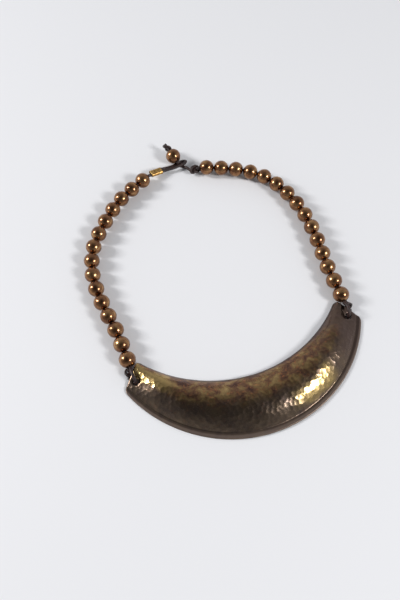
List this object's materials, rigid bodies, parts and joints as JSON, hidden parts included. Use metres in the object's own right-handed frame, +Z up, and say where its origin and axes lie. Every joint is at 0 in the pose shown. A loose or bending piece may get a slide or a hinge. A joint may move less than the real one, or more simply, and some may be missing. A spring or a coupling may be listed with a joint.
{
  "type": "bib necklace",
  "caption": "Short necklace with a hammered brass crescent bib, strings of round brass beads on dark cord, and a loop-and-bead clasp.",
  "frame": {"origin": "middle of the necklace's footprint, on the surface it lies on", "axes": "+Z up from that surface, +Y from the bib towards the clasp, +X to the wearer's left as it lies face up"},
  "size_m": [0.1448, 0.1952, 0.0099],
  "materials": {
    "bib_brass": "hammered, polished and darkened by an uneven brown patina",
    "bead_brass": "polished reddish bronze, lightly tarnished",
    "ferrule_brass": "brighter yellow, crimped, worn",
    "dark_cord": "round waxed cord, dark reddish brown"
  },
  "bodies": {
    "root": {"bib_plate": "bib_brass", "end_knot": "dark_cord", "ferrule": "ferrule_brass", "left_bead_01": "bead_brass", "left_bead_02": "bead_brass", "left_bead_03": "bead_brass", "left_bead_04": "bead_brass", "left_bead_05": "bead_brass", "left_bead_06": "bead_brass", "left_bead_07": "bead_brass", "left_bead_08": "bead_brass", "left_bead_09": "bead_brass", "left_bead_10": "bead_brass", "left_bead_11": "bead_brass", "left_bead_12": "bead_brass", "left_bead_13": "bead_brass", "left_bead_14": "bead_brass", "left_bead_15": "bead_brass", "left_cord": "dark_cord", "left_tie_knot": "dark_cord", "right_bead_01": "bead_brass", "right_bead_02": "bead_brass", "right_bead_03": "bead_brass", "right_bead_04": "bead_brass", "right_bead_05": "bead_brass", "right_bead_06": "bead_brass", "right_bead_07": "bead_brass", "right_bead_08": "bead_brass", "right_bead_09": "bead_brass", "right_bead_10": "bead_brass", "right_bead_11": "bead_brass", "right_bead_12": "bead_brass", "right_bead_13": "bead_brass", "right_bead_14": "bead_brass", "right_bead_15": "bead_brass", "right_cord": "dark_cord", "right_tie_knot": "dark_cord", "stop_knot": "dark_cord", "toggle_bead": "bead_brass"}
  },
  "joints": []
}
